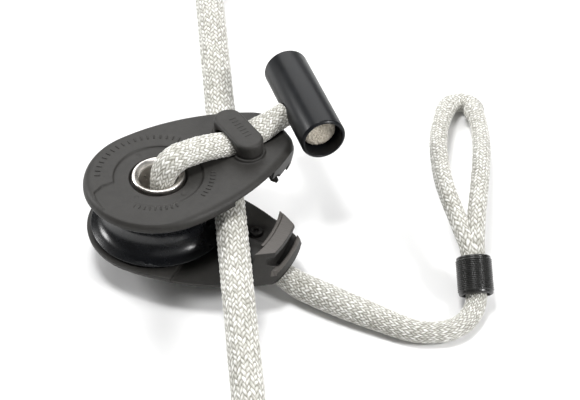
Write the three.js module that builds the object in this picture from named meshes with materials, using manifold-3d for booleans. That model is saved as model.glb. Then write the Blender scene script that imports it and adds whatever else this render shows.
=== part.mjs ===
// Soft-attachment snatch block: two hinged composite cheeks on a tubular steel hub, a ball-bearing
// aluminium sheave between them, and a spliced rope strop through the hub with a toggle and an eye.
//
// Frame: millimetres, +Z up along the hub axis, origin at the centre of the box round the hard parts.
// The parts are laid out about the middle of the sheave, with +X from the hub to the lower cheek's head,
// and the finished block is shifted by HUB_AT. It lies open: the upper cheek is swung by OPEN_ANGLE.

import * as THREE from 'three';
import { mergeVertices } from 'three/addons/utils/BufferGeometryUtils.js';
import Module from 'manifold-3d';

const wasm = await Module();
wasm.setup();

// ---------- driving dimensions ----------
const GAP = 0.3; // clearance between touching pieces
const HUB_AT = new THREE.Vector3(-14.9, -12.7, 0); // the sheave's centre in the finished frame

// sheave
const SHEAVE_R = 30;
const SHEAVE_HALF = 10.45;
const GROOVE_R = 7; // radius of the groove's section
const LINE_R = 6.6; // the 12 mm line, slightly swollen under its cover
const LINE_OFFSET = 29.1; // hub axis to line axis

// hub
const HUB_BORE_R = 8.3;
const HUB_TUBE_R = 10;
const RIM_R = 11.3;
const RIM_TOP_Z = 15.5;
const RIM_SKIRT_Z = 12.2;

// cheeks: a hub disc, long side arcs and a head arc about the hub
const CHEEK_R = 31.8;
const SIDE_R = 98;
const SIDE_START = THREE.MathUtils.degToRad(92);
const HEAD_R = 61.6;
const HEAD_CORNER_R = 5;
const FACE_Z = 15; // outer face
const HUB_PAD_Z = 10.9; // inner face round the sheave
const HEAD_PAD_Z = 12.7; // inner face of the thinner head
const HEAD_ROOT_Z = 13.2; // how deep the latch blocks reach into it
const PAD_STEP_X = 19.5; // where the inner face steps from one to the other
const CHEEK_ROUND = 3.5;
const CHEEK_BORE_R = 12.9;
const OPEN_ANGLE = 57; // degrees, upper cheek from the closed position

// latch: an arc-shaped horn on the lower head, a matching channel under the upper head
const HORN_TOP_Z = 1;
const HORN_IN_R = 52.8;
const HORN_OUT_R = 59;
const HORN_LIP_R = 51;
const END_DRAFT = 0.35; // how far the head's ends lean in, per millimetre of height

// keeper bridges over the strop
const KEEPER_X = 39.4;
const KEEPER_WIDTH = 12.8;
const KEEPER_HALF = 14.4;
const KEEPER_TOP_Z = 23;
const KEEPER_FOOT_Y = 8.9;
const PLINTH_Z = 16.3;
const SCREW_Y = 11.6;

// strop
const STROP_HALF_W = 5.7; // flattened braid: half width across, half height
const STROP_HALF_H = 4.3;
const SPLICE_R = 6.4;
const NECK_R = 4.4;
const EYE_R = 3.85;

// toggle
const TOGGLE_R = 9.8;
const TOGGLE_BORE_R = 8.2;
const TOGGLE_HALF = 26;
const TOGGLE_AT = new THREE.Vector3(72.3, 0, 22.3); // in the upper cheek's own frame
const TOGGLE_TURN = THREE.MathUtils.degToRad(-14.4);
const TOGGLE_DIP = THREE.MathUtils.degToRad(1);
const TAIL_R = 7.7; // the rope's end inside the toggle
const TAIL_INSET = 4; // how far that end lies inside the tube's mouth
const LEG_RISE = THREE.MathUtils.degToRad(12.5); // the strop's slope where it enters the toggle

// sliding sleeve
const SLEEVE_R = 7.5;
const SLEEVE_BORE_R = 5.9;
const SLEEVE_LENGTH = 16.4;
const SLEEVE_AT = new THREE.Vector3(132.6, 27.4, -15.2);
const SLEEVE_ALONG = new THREE.Vector3(-0.389, 0.714, 0.5822); // up the rope, towards the eye

// ---------- materials ----------
const cheekPlastic = new THREE.MeshStandardMaterial({ color: 0x4f4d4a, roughness: 0.75, metalness: 0 });
const anodised = new THREE.MeshStandardMaterial({ color: 0x101418, roughness: 0.3, metalness: 0.85 });
const stainless = new THREE.MeshStandardMaterial({ color: 0xd8d6d2, roughness: 0.22, metalness: 1 });
const acetal = new THREE.MeshStandardMaterial({ color: 0xe6e2d8, roughness: 0.5, metalness: 0 });
const bearingFibre = new THREE.MeshStandardMaterial({ color: 0x6a5a3c, roughness: 0.7, metalness: 0 });
const rubber = new THREE.MeshStandardMaterial({ color: 0x161616, roughness: 0.6, metalness: 0 });
const rope = new THREE.MeshStandardMaterial({ color: 0xe9e8e2, roughness: 0.85, metalness: 0 });

// ---------- solids ----------
function solid(geometry) {
  geometry.deleteAttribute('normal');
  geometry.deleteAttribute('uv');
  const merged = mergeVertices(geometry, 1e-4);
  const corners = merged.index.array;
  const triangles = [];
  for (let i = 0; i < corners.length; i += 3) {
    const [a, b, c] = corners.slice(i, i + 3);
    if (a !== b && b !== c && c !== a) {
      triangles.push(a, b, c);
    }
  }
  const mesh = new wasm.Mesh({
    numProp: 3,
    vertProperties: new Float32Array(merged.attributes.position.array),
    triVerts: new Uint32Array(triangles),
  });
  return new wasm.Manifold(mesh);
}

function toGeometry(manifold) {
  const mesh = manifold.getMesh();
  const geometry = new THREE.BufferGeometry();
  geometry.setAttribute('position', new THREE.BufferAttribute(new Float32Array(mesh.vertProperties), 3));
  geometry.setIndex(new THREE.BufferAttribute(new Uint32Array(mesh.triVerts), 1));
  geometry.computeVertexNormals();
  return geometry;
}

function piece(name, manifold, material) {
  const mesh = new THREE.Mesh(toGeometry(manifold), material);
  mesh.name = name;
  return mesh;
}

// a solid of revolution about Z; the profile is a list of [radius, z], closed on itself
function revolve(profile, segments = 48) {
  const points = [...profile, profile[0]].map(([r, z]) => new THREE.Vector2(r, z));
  const geometry = new THREE.LatheGeometry(points, segments);
  geometry.rotateX(Math.PI / 2);
  const ring = solid(geometry);
  return ring.volume() < 0 ? solid(flip(geometry)) : ring;
}

function flip(geometry) {
  const index = geometry.index.array;
  for (let i = 0; i < index.length; i += 3) {
    [index[i], index[i + 1]] = [index[i + 1], index[i]];
  }
  return geometry;
}

function cylinder(radius, z0, z1, x = 0, y = 0, segments = 24) {
  const geometry = new THREE.CylinderGeometry(radius, radius, z1 - z0, segments);
  geometry.rotateX(Math.PI / 2);
  geometry.translate(x, y, (z0 + z1) / 2);
  return solid(geometry);
}

function box(x0, x1, y0, y1, z0, z1) {
  const geometry = new THREE.BoxGeometry(x1 - x0, y1 - y0, z1 - z0);
  geometry.translate((x0 + x1) / 2, (y0 + y1) / 2, (z0 + z1) / 2);
  return solid(geometry);
}

// an upright prism of an outline, with its edges rounded by a bevel at both ends
function prism(points, z0, z1, round = 0, roundSteps = 3) {
  const geometry = new THREE.ExtrudeGeometry(new THREE.Shape(points), {
    depth: z1 - z0 - 2 * round,
    bevelEnabled: round > 0,
    bevelThickness: round,
    bevelSize: round,
    bevelOffset: -round,
    bevelSegments: roundSteps,
  });
  geometry.translate(0, 0, z0 + round);
  return solid(geometry);
}

// a prism whose section changes evenly from one outline to another with as many points
function taper(bottom, top, z0, z1) {
  const shape = new THREE.Shape(bottom);
  const geometry = new THREE.ExtrudeGeometry(shape, { depth: z1 - z0, bevelEnabled: false });
  geometry.translate(0, 0, z0);
  const position = geometry.attributes.position;
  const middle = (z0 + z1) / 2;
  for (let i = 0; i < position.count; i += 1) {
    if (position.getZ(i) > middle) {
      const at = new THREE.Vector2(position.getX(i), position.getY(i));
      const k = bottom.findIndex((point) => point.distanceTo(at) < 1e-3);
      position.setXY(i, top[k].x, top[k].y);
    }
  }
  return solid(geometry);
}

function ellipse(halfWidth, halfHeight, sides) {
  const points = [];
  for (let i = 0; i < sides; i += 1) {
    const angle = (2 * Math.PI * (i + 0.5)) / sides;
    points.push(new THREE.Vector2(halfWidth * Math.cos(angle), halfHeight * Math.sin(angle)));
  }
  return new THREE.Shape(points);
}

// a rope: its section swept along a smooth curve through a list of points
function sweep(points, halfWidth, halfHeight, steps, sides = 10) {
  const route = points.map((p) => new THREE.Vector3(...p));
  const curve = new THREE.CatmullRomCurve3(route, false, 'centripetal');
  const frames = curve.computeFrenetFrames(1, false);
  const widthFirst = Math.abs(frames.normals[0].y) > Math.abs(frames.binormals[0].y);
  const halves = widthFirst ? [halfWidth, halfHeight] : [halfHeight, halfWidth];
  const section = ellipse(...halves, sides);
  return solid(new THREE.ExtrudeGeometry(section, { steps, extrudePath: curve }));
}

function mirrorZ(manifold) {
  return manifold.mirror([0, 0, 1]);
}

// ---------- cheek outline ----------
const sideCentre = new THREE.Vector2(
  -(SIDE_R - CHEEK_R) * Math.cos(SIDE_START),
  -(SIDE_R - CHEEK_R) * Math.sin(SIDE_START),
);

function sideY(x) {
  return sideCentre.y + Math.sqrt(SIDE_R ** 2 - (x - sideCentre.x) ** 2);
}

// the centre of the corner arc that joins the side arc to the head arc
function cornerCentre() {
  const fromHub = HEAD_R - HEAD_CORNER_R;
  const fromSide = SIDE_R - HEAD_CORNER_R;
  const apart = sideCentre.length();
  const along = (fromHub ** 2 - fromSide ** 2 + apart ** 2) / (2 * apart);
  const across = Math.sqrt(fromHub ** 2 - along ** 2);
  const unit = sideCentre.clone().normalize();
  return new THREE.Vector2(unit.x * along - unit.y * across, unit.y * along + unit.x * across);
}

function arcPoints(centre, radius, from, to, steps) {
  const points = [];
  for (let i = 0; i < steps; i += 1) {
    const angle = from + ((to - from) * i) / steps;
    const spoke = new THREE.Vector2(radius * Math.cos(angle), radius * Math.sin(angle));
    points.push(spoke.add(centre));
  }
  return points;
}

function cheekOutline() {
  const hub = new THREE.Vector2(0, 0);
  const corner = cornerCentre();
  const headAngle = corner.angle();
  const sideAngle = corner.clone().sub(sideCentre).angle();
  const upperHalf = [
    ...arcPoints(hub, HEAD_R, 0, headAngle, 5),
    ...arcPoints(corner, HEAD_CORNER_R, headAngle, sideAngle, 5),
    ...arcPoints(sideCentre, SIDE_R, sideAngle, SIDE_START, 9),
    ...arcPoints(hub, CHEEK_R, SIDE_START, Math.PI, 14),
  ];
  const lowerHalf = upperHalf.slice(1).map((p) => new THREE.Vector2(p.x, -p.y)).reverse();
  return [...upperHalf, new THREE.Vector2(-CHEEK_R, 0), ...lowerHalf];
}

// the head's block, seen from above, with its ends moved in
function headBlock(inset) {
  const xs = [43, 50, 57, 64];
  const side = xs.map((x) => new THREE.Vector2(x, sideY(x) - inset));
  const other = side.map((p) => new THREE.Vector2(p.x, -p.y)).reverse();
  return [...other, ...side];
}

function headTaper(zWide, zNarrow) {
  const inset = END_DRAFT * Math.abs(zNarrow - zWide);
  return zWide < zNarrow
    ? taper(headBlock(0), headBlock(inset), zWide, zNarrow)
    : taper(headBlock(inset), headBlock(0), zNarrow, zWide);
}

// ---------- strop routes ----------
// over the hub's rim, down under the keeper and out to the toggle, in a cheek's own frame
const legRoute = [
  [1.3, 0, 0.15], [1.3, 0, 7], [1.9, 0, 12.5], [4.6, 0, 17.6], [9.8, 0, 20.2], [15, 0, 20.1],
  [21, 0, 19.6], [28, 0, 18.1], [34, 0, 16.5], [39.4, 0, 15.8], [45, 0, 16.3], [51, 0, 17.4],
  [57, 0, 18.7], [60, 0, 19.4], [63.2, 0, 20.1],
];
const lowerLegRoute = [
  [1.3, 0, -0.15], [1.3, 0, -8], [1.5, 0, -14.5], [3.1, 0, -20.2], [7.4, 0, -23], [12.6, 0, -22.8],
  [19, 0, -21.1], [27, 0, -18.5], [34, 0, -16.5], [39.4, 0, -15.8], [45, 0, -16.3], [51, -0.2, -17.5],
  [57, -0.8, -19], [62, -1.6, -20.3],
];
const spliceRoute = [
  [62.6, -1.72, -20.45], [66, -2.3, -20.95], [70, -2.9, -21], [78, -3.9, -21], [88, -4.9, -21],
  [98, -5.4, -21.05], [108, -5.8, -21.05],
];
const neckRoute = [
  [108.5, -5.83, -21.1], [111.5, -5.95, -21.3], [115.5, -5.95, -22.1], [120.5, -5.2, -23],
  [126.5, -2.8, -23], [131.5, 0.5, -23], [135.2, 5.6, -23], [136.8, 11.8, -22.9], [136.9, 17.3, -22],
  [135.9, 21.4, -20], [133.4, 25.9, -16.4], [130.7, 30.9, -12.3],
];

// ---------- cheeks ----------
function cheekPlate() {
  const outline = cheekOutline();
  const blank = prism(outline, 2 * HUB_PAD_Z - FACE_Z, FACE_Z, CHEEK_ROUND);
  const far = 200;
  const hubPart = blank.intersect(box(-far, PAD_STEP_X, -far, far, HUB_PAD_Z, far));
  const headPart = blank.intersect(box(PAD_STEP_X - 1, far, -far, far, HEAD_PAD_Z, far));
  return hubPart.add(headPart);
}

// the recess in the face round the hub's rim
const RECESS_R = 21;
const RECESS_DEPTH = 0.6;

function recessedFace() {
  const ring = revolve([
    [CHEEK_BORE_R - 1, FACE_Z - RECESS_DEPTH], [RECESS_R, FACE_Z - RECESS_DEPTH],
    [RECESS_R + RECESS_DEPTH, FACE_Z + 1], [CHEEK_BORE_R - 1, FACE_Z + 1],
  ], 48);
  return ring;
}

function hubBore() {
  return revolve([
    [0, HUB_PAD_Z - 1], [HUB_TUBE_R + GAP, HUB_PAD_Z - 1], [HUB_TUBE_R + GAP, RIM_SKIRT_Z - GAP],
    [CHEEK_BORE_R - 1, RIM_SKIRT_Z - GAP], [CHEEK_BORE_R, FACE_Z + 1], [0, FACE_Z + 1],
  ], 40);
}

// the trough that the strop lies in, and the boss under the face that makes room for it
function troughBoss() {
  const tube = sweep(legRoute.slice(6, 13), STROP_HALF_W + 2.4, STROP_HALF_H + 2.3, 7, 12);
  return tube.intersect(box(22, 50, -30, 30, 8, FACE_Z - 1));
}

function trough() {
  return sweep(legRoute.slice(4), STROP_HALF_W + 2 * GAP, STROP_HALF_H + 2 * GAP, 12, 14);
}

function plinths() {
  const outline = keeperOutline(0.8);
  const pad = prism(outline, HEAD_PAD_Z, PLINTH_Z, 0);
  return pad.subtract(box(0, 80, -KEEPER_FOOT_Y + 1, KEEPER_FOOT_Y - 1, 0, 30));
}

function screwHoles() {
  const hole = (y) => cylinder(1.6, 0, 30, KEEPER_X, y, 16).add(cylinder(3, 0, 13.6, KEEPER_X, y, 20));
  return hole(SCREW_Y).add(hole(-SCREW_Y));
}

// a cheek with its outer face up; the latch is added for the upper or the lower one
function cheekShell() {
  return cheekPlate()
    .subtract(recessedFace())
    .add(troughBoss())
    .add(plinths())
    .subtract(trough())
    .subtract(hubBore())
    .subtract(screwHoles());
}

// the upper head: a thick block over the horn, an outer wall with a small hook, an inner hooked wall
const CHANNEL_TOP_Z = HORN_TOP_Z + 0.4;

function upperCheek() {
  const section = [
    [45.5, HEAD_ROOT_Z], [47.4, 9.5], [48.4, 5], [49.1, -2.4], [52.4, -2.4], [52.4, -1], [50.6, -1],
    [50.6, CHANNEL_TOP_Z], [HORN_OUT_R + GAP, CHANNEL_TOP_Z], [HORN_OUT_R + GAP, -1.9], [58.2, -1.9],
    [58.2, -3.2], [61.2, -3.2], [HEAD_R, -2.6], [HEAD_R, 11.4], [58, HEAD_ROOT_Z],
  ];
  const head = revolve(section, 96).intersect(headTaper(HEAD_ROOT_Z, -3.5));
  const openRelief = box(40, 53, 12.4, 30, -5, HEAD_PAD_Z - 2).add(lineSpace(OPEN_ANGLE + 2, 20, 60));
  const closedRelief = lineSpace(0, -20, -60);
  return cheekShell()
    .add(head.subtract(openRelief).subtract(closedRelief))
    .subtract(trough());
}

// the lower head: the horn, an undercut slot under its rim outside, a thin hooked lip inside
function lowerCheek() {
  const section = [
    [48.6, -HEAD_ROOT_Z], [51.6, -10.5], [HORN_IN_R, -8.5], [HORN_IN_R, HORN_TOP_Z],
    [HORN_OUT_R, HORN_TOP_Z], [HORN_OUT_R, -1.5], [57, -1.8], [57, -6], [59.1, -6.5], [60.6, -8.2],
    [61.3, -9.6], [HEAD_R, -11.4], [58, -HEAD_ROOT_Z],
  ];
  const lip = revolve([
    [HORN_LIP_R, -0.6], [HORN_IN_R + 1, -0.6], [HORN_IN_R + 1, 0.5], [HORN_LIP_R, 0.5],
  ], 96).intersect(box(40, 60, -7.5, 30, -2, 2));
  const head = revolve(section, 96).add(lip).intersect(headTaper(-HEAD_ROOT_Z, HORN_TOP_Z + 1));
  return mirrorZ(cheekShell()).add(head).subtract(mirrorZ(trough()));
}

// ---------- keepers ----------
function keeperOutline(grow) {
  const half = KEEPER_WIDTH / 2 + grow;
  const straight = KEEPER_HALF + grow - half;
  const up = arcPoints(new THREE.Vector2(KEEPER_X, straight), half, 0, Math.PI, 10);
  const down = arcPoints(new THREE.Vector2(KEEPER_X, -straight), half, Math.PI, 2 * Math.PI, 10);
  return [...up, new THREE.Vector2(KEEPER_X - half, straight), ...down,
    new THREE.Vector2(KEEPER_X + half, -straight)];
}

function keeper() {
  const cap = prism(keeperOutline(0), PLINTH_Z + GAP - 2.2, KEEPER_TOP_Z, 2.2);
  const above = cap.intersect(box(0, 80, -30, 30, PLINTH_Z + GAP, 30));
  const arch = sweep(legRoute.slice(6, 13), KEEPER_FOOT_Y, STROP_HALF_H + 2 * GAP, 8, 20);
  const pilot = (y) => cylinder(1.25, 0, KEEPER_TOP_Z - 2.5, KEEPER_X, y, 14);
  return above.subtract(arch).subtract(pilot(SCREW_Y)).subtract(pilot(-SCREW_Y));
}

function keeperScrew(y) {
  const head = cylinder(2.7, 11.4, 13.3, KEEPER_X, y, 20);
  const shank = cylinder(1.05, 13, KEEPER_TOP_Z - 3.2, KEEPER_X, y, 14);
  const socket = cylinder(1.2, 11, 12.4, KEEPER_X, y, 6);
  return head.add(shank).subtract(socket);
}

// ---------- sheave and bearings ----------
const BUSH_R = 13;
const RACE_IN_R = 15.4;
const RACE_OUT_R = 21.2;
const RACE_DEPTH = 3.45;
const BALL_RING_R = 18.3;
const BALL_R = 1.65;
const BALL_COUNT = 12;

function sheave() {
  const profile = [];
  const mouth = 9.3;
  const grooveCentre = LINE_OFFSET + 0.4;
  const steps = 7;
  const reach = Math.asin(Math.min(1, (mouth - 1.2) / (GROOVE_R + 1.6)));
  profile.push([SHEAVE_R - 0.5, -SHEAVE_HALF], [SHEAVE_R, -SHEAVE_HALF + 0.5], [SHEAVE_R, -mouth]);
  for (let i = 0; i <= steps; i += 1) {
    const angle = -reach + (2 * reach * i) / steps;
    const spread = 1 + 0.22 * Math.abs(Math.sin(angle));
    profile.push([grooveCentre - GROOVE_R * Math.cos(angle), GROOVE_R * spread * Math.sin(angle)]);
  }
  profile.push([SHEAVE_R, mouth], [SHEAVE_R, SHEAVE_HALF - 0.5], [SHEAVE_R - 0.5, SHEAVE_HALF]);
  profile.push([RACE_OUT_R, SHEAVE_HALF], [RACE_OUT_R, SHEAVE_HALF - RACE_DEPTH]);
  profile.push([RACE_IN_R, SHEAVE_HALF - RACE_DEPTH], [RACE_IN_R, SHEAVE_HALF - 0.8]);
  profile.push([BUSH_R + GAP, SHEAVE_HALF - 0.8], [BUSH_R + GAP, -SHEAVE_HALF + 0.8]);
  profile.push([RACE_IN_R, -SHEAVE_HALF + 0.8], [RACE_IN_R, -SHEAVE_HALF + RACE_DEPTH]);
  profile.push([RACE_OUT_R, -SHEAVE_HALF + RACE_DEPTH], [RACE_OUT_R, -SHEAVE_HALF]);
  return revolve(profile, 44);
}

function ballRace() {
  const z = SHEAVE_HALF - RACE_DEPTH + GAP + BALL_R;
  let race = revolve([
    [RACE_IN_R + GAP, z - 0.7], [RACE_OUT_R - GAP, z - 0.7], [RACE_OUT_R - GAP, z + 0.7],
    [RACE_IN_R + GAP, z + 0.7],
  ], 32);
  for (let i = 0; i < BALL_COUNT; i += 1) {
    const angle = (2 * Math.PI * i) / BALL_COUNT;
    const ball = new THREE.SphereGeometry(BALL_R, 7, 4);
    ball.translate(BALL_RING_R * Math.cos(angle), BALL_RING_R * Math.sin(angle), z);
    race = race.add(solid(ball));
  }
  return race;
}

function bearingBush() {
  const half = SHEAVE_HALF - 0.3;
  return revolve([
    [HUB_TUBE_R + GAP, -half], [BUSH_R, -half], [BUSH_R, half], [HUB_TUBE_R + GAP, half],
  ], 40);
}

// ---------- hub ----------
function hubSleeve() {
  const half = RIM_TOP_Z - 2;
  return revolve([
    [HUB_BORE_R, -half], [HUB_TUBE_R, -half], [HUB_TUBE_R, half], [HUB_BORE_R, half],
  ], 40);
}

function hubRim() {
  const seat = RIM_TOP_Z - 2 + GAP;
  const crown = (RIM_R + HUB_BORE_R) / 2;
  return revolve([
    [HUB_BORE_R, seat], [HUB_TUBE_R + GAP, seat], [HUB_TUBE_R + GAP, RIM_SKIRT_Z], [RIM_R, RIM_SKIRT_Z],
    [RIM_R, RIM_TOP_Z - 0.8], [RIM_R - 0.3, RIM_TOP_Z - 0.2], [crown + 0.5, RIM_TOP_Z],
    [crown - 0.4, RIM_TOP_Z - 0.15], [HUB_BORE_R + 0.6, RIM_TOP_Z - 0.6], [HUB_BORE_R + 0.1, seat + 0.6],
  ], 32);
}

// ---------- toggle ----------
function toggleTube() {
  const half = TOGGLE_HALF;
  const tube = revolve([
    [TOGGLE_BORE_R, -half + 0.3], [TOGGLE_BORE_R + 0.3, -half], [TOGGLE_R - 0.9, -half],
    [TOGGLE_R, -half + 0.9], [TOGGLE_R, half - 0.9], [TOGGLE_R - 0.9, half],
    [TOGGLE_BORE_R + 0.3, half], [TOGGLE_BORE_R, half - 0.3],
  ], 32);
  const inward = new THREE.Vector3(Math.cos(LEG_RISE), 0, Math.sin(LEG_RISE));
  inward.applyQuaternion(toggleTurn().invert());
  const depth = TOGGLE_R + 4;
  const entry = new THREE.CylinderGeometry(6.2, 6.2, depth, 24);
  entry.applyQuaternion(new THREE.Quaternion().setFromUnitVectors(new THREE.Vector3(0, 1, 0), inward));
  entry.translate(-inward.x * depth / 2, -inward.y * depth / 2, -inward.z * depth / 2);
  return tube.subtract(solid(entry));
}

function stropTail() {
  const end = TOGGLE_HALF - TAIL_INSET;
  const back = -14;
  return revolve([
    [0, back], [TAIL_R - 0.8, back], [TAIL_R, back + 1.5], [TAIL_R, end - 0.8], [TAIL_R - 0.8, end], [0, end],
  ], 20);
}

// the toggle's frame in the upper cheek's: its own Z runs along the tube
function toggleTurn() {
  const along = new THREE.Vector3(
    Math.sin(TOGGLE_TURN) * Math.cos(TOGGLE_DIP),
    -Math.cos(TOGGLE_TURN) * Math.cos(TOGGLE_DIP),
    Math.sin(TOGGLE_DIP),
  );
  const side = new THREE.Vector3(1, 0, 0).addScaledVector(along, -along.x).normalize();
  const third = new THREE.Vector3().crossVectors(along, side);
  return new THREE.Quaternion().setFromRotationMatrix(new THREE.Matrix4().makeBasis(side, third, along));
}

function toggleGroup(meshes) {
  const group = new THREE.Group();
  group.quaternion.copy(toggleTurn());
  group.position.copy(TOGGLE_AT);
  group.add(...meshes);
  return group;
}

// ---------- sliding sleeve ----------
function slidingSleeve() {
  const half = SLEEVE_LENGTH / 2;
  const ribs = 4;
  const pitch = (SLEEVE_LENGTH - 3.6) / ribs;
  const profile = [[SLEEVE_BORE_R, -half], [SLEEVE_R - 1.2, -half], [SLEEVE_R - 0.3, -half + 0.5]];
  profile.push([SLEEVE_R, -half + 1.4]);
  for (let i = 0; i < ribs; i += 1) {
    const z = -half + 1.8 + i * pitch;
    profile.push([SLEEVE_R - 0.25, z + pitch * 0.2], [SLEEVE_R, z + pitch * 0.5]);
    profile.push([SLEEVE_R, z + pitch * 0.8]);
  }
  profile.push([SLEEVE_R, half - 1.4], [SLEEVE_R - 0.3, half - 0.5], [SLEEVE_R - 1.2, half]);
  profile.push([SLEEVE_BORE_R, half]);
  return revolve(profile, 20);
}

function sleeveGroup(mesh) {
  const group = new THREE.Group();
  group.quaternion.setFromUnitVectors(new THREE.Vector3(0, 0, 1), SLEEVE_ALONG.clone().normalize());
  group.position.copy(SLEEVE_AT);
  group.add(mesh);
  return group;
}

// ---------- strop ----------
const eyeOuterLeg = [
  [129.6, 30.9, -11.9], [128, 33.6, -9.9], [125.3, 36.9, -7.2], [121.4, 41, -5.2], [116.9, 46.3, -3.6],
  [111.3, 53.4, -2.9], [104.4, 63.8, -3.6], [95.9, 80.3, -7], [87.5, 100.3, -12.2], [81.9, 119.6, -17.6],
  [79.7, 134.6, -21.8], [81.7, 141.4, -23.4], [86.3, 141.5, -23.2],
];
const eyeInnerLeg = [
  [131.3, 31.8, -11.9], [129.9, 34.7, -9.9], [128.2, 38.2, -7.2], [126.6, 42.6, -5.2], [124.6, 48.4, -3.6],
  [121.8, 57.4, -2.9], [118.2, 69.3, -3.6], [111.9, 88.9, -7], [105.2, 107.3, -12], [95.9, 127.7, -17.8],
  [90, 137.7, -21.6], [86, 141.3, -23.1],
];

function stropEye() {
  return sweep(eyeOuterLeg, EYE_R, EYE_R, 14).add(sweep(eyeInnerLeg, EYE_R, EYE_R, 12));
}

// ---------- working line ----------
const LINE_ANGLE = THREE.MathUtils.degToRad(29.7); // direction from the hub to the line's nearest point
const LINE_FAR = 170;
const LINE_NEAR = 160;
const KNOT_R = 16;
const KNOT_LENGTH = 36;

function alongLine(distance) {
  return [
    LINE_OFFSET * Math.cos(LINE_ANGLE) - distance * Math.sin(LINE_ANGLE),
    LINE_OFFSET * Math.sin(LINE_ANGLE) + distance * Math.cos(LINE_ANGLE),
    0,
  ];
}

function lineStretch(from, to) {
  return sweep([alongLine(from), alongLine((from + to) / 2), alongLine(to)], LINE_R, LINE_R, 5, 12);
}

// the space that the line takes through the upper head when the cheek is open by an angle in degrees
function lineSpace(openAngle, from, to) {
  const route = [alongLine(from), alongLine((from + to) / 2), alongLine(to)];
  return sweep(route, LINE_R + GAP, LINE_R + GAP, 2, 12).rotate([0, 0, -openAngle]);
}

function lineKnot(from, direction) {
  const half = KNOT_LENGTH / 2;
  const knot = revolve([
    [0, -half], [LINE_R, -half], [KNOT_R - 3, -half + 3], [KNOT_R, -half + 9], [KNOT_R, half - 15],
    [KNOT_R - 4, half - 8], [LINE_R + 1, half - 5], [LINE_R, half], [0, half],
  ], 20);
  const mesh = piece(direction > 0 ? 'line_stopper_knot_far' : 'line_stopper_knot_near', knot, rope);
  const along = new THREE.Vector3(...alongLine(1)).sub(new THREE.Vector3(...alongLine(0)));
  mesh.quaternion.setFromUnitVectors(new THREE.Vector3(0, 0, 1), along.multiplyScalar(direction));
  mesh.position.set(...alongLine(from + direction * (half + GAP)));
  return mesh;
}

// ---------- assembly ----------
const block = new THREE.Group();
block.add(
  piece('lower_cheek', lowerCheek(), cheekPlastic),
  piece('lower_keeper', mirrorZ(keeper()), cheekPlastic),
  piece('lower_keeper_screw_left', mirrorZ(keeperScrew(SCREW_Y)), stainless),
  piece('lower_keeper_screw_right', mirrorZ(keeperScrew(-SCREW_Y)), stainless),
  piece('hub_sleeve', hubSleeve(), stainless),
  piece('upper_hub_rim', hubRim(), stainless),
  piece('lower_hub_rim', mirrorZ(hubRim()), stainless),
  piece('bearing_bush', bearingBush(), bearingFibre),
  piece('sheave', sheave(), anodised),
  piece('upper_ball_race', ballRace(), acetal),
  piece('lower_ball_race', mirrorZ(ballRace()), acetal),
  piece('strop_lower_leg', sweep(lowerLegRoute, STROP_HALF_W, STROP_HALF_H, 18), rope),
  piece('strop_splice', sweep(spliceRoute, SPLICE_R, SPLICE_R, 5), rope),
  piece('strop_neck', sweep(neckRoute, NECK_R, NECK_R, 16), rope),
  piece('strop_eye', stropEye(), rope),
  sleeveGroup(piece('eye_sleeve', slidingSleeve(), rubber)),
  piece('working_line_far', lineStretch(GAP / 2, LINE_FAR), rope),
  piece('working_line_near', lineStretch(-GAP / 2, -LINE_NEAR), rope),
  lineKnot(LINE_FAR, 1),
  lineKnot(-LINE_NEAR, -1),
);

const swung = new THREE.Group();
swung.rotation.z = THREE.MathUtils.degToRad(OPEN_ANGLE);
swung.add(
  piece('upper_cheek', upperCheek(), cheekPlastic),
  piece('upper_keeper', keeper(), cheekPlastic),
  piece('upper_keeper_screw_left', keeperScrew(SCREW_Y), stainless),
  piece('upper_keeper_screw_right', keeperScrew(-SCREW_Y), stainless),
  piece('strop_upper_leg', sweep(legRoute, STROP_HALF_W, STROP_HALF_H, 20), rope),
  toggleGroup([piece('toggle_tube', toggleTube(), anodised), piece('strop_tail', stropTail(), rope)]),
);
block.add(swung);
block.position.copy(HUB_AT);

export default block;
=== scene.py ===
"""Looks for a soft-attachment snatch block: composite cheeks, anodised sheave, plaited strop and line.

Lengths in this file are millimetres in the block's own frame (hub axis at the origin, +X to the lower
cheek's head, Z up), and `to_row` turns them into metres in the row frame.
"""
import math

import bmesh
import bpy
import numpy as np
from mathutils import Matrix, Vector, noise


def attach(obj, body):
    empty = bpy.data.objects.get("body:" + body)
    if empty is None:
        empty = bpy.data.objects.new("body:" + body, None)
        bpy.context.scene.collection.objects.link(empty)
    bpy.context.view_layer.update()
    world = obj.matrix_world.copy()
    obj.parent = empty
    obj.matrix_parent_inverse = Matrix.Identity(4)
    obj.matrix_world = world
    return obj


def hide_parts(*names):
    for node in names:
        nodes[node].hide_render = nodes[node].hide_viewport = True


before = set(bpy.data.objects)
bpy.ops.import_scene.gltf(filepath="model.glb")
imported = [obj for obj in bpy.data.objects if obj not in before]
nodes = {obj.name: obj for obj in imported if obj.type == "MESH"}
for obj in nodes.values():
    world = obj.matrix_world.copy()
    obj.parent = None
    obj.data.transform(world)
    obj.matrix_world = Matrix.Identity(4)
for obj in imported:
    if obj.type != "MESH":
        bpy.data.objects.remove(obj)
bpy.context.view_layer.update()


# ---------- dimensions, most of them shared with the CAD ----------
MM = 0.001
HUB_AT = np.array([-14.9, -12.7, 0.0])
OPEN_ANGLE = 57.0
GAP = 0.3

SHEAVE_R = 30.0
SHEAVE_HALF = 10.45
GROOVE_R = 7.0
LINE_R = 6.6
LINE_OFFSET = 29.1
LINE_ANGLE = math.radians(29.7)
LINE_FAR = 170.0
LINE_NEAR = 160.0

HUB_BORE_R = 8.3
HUB_TUBE_R = 10.0
RIM_R = 11.3
RIM_TOP_Z = 15.5
RIM_SKIRT_Z = 12.2

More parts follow.
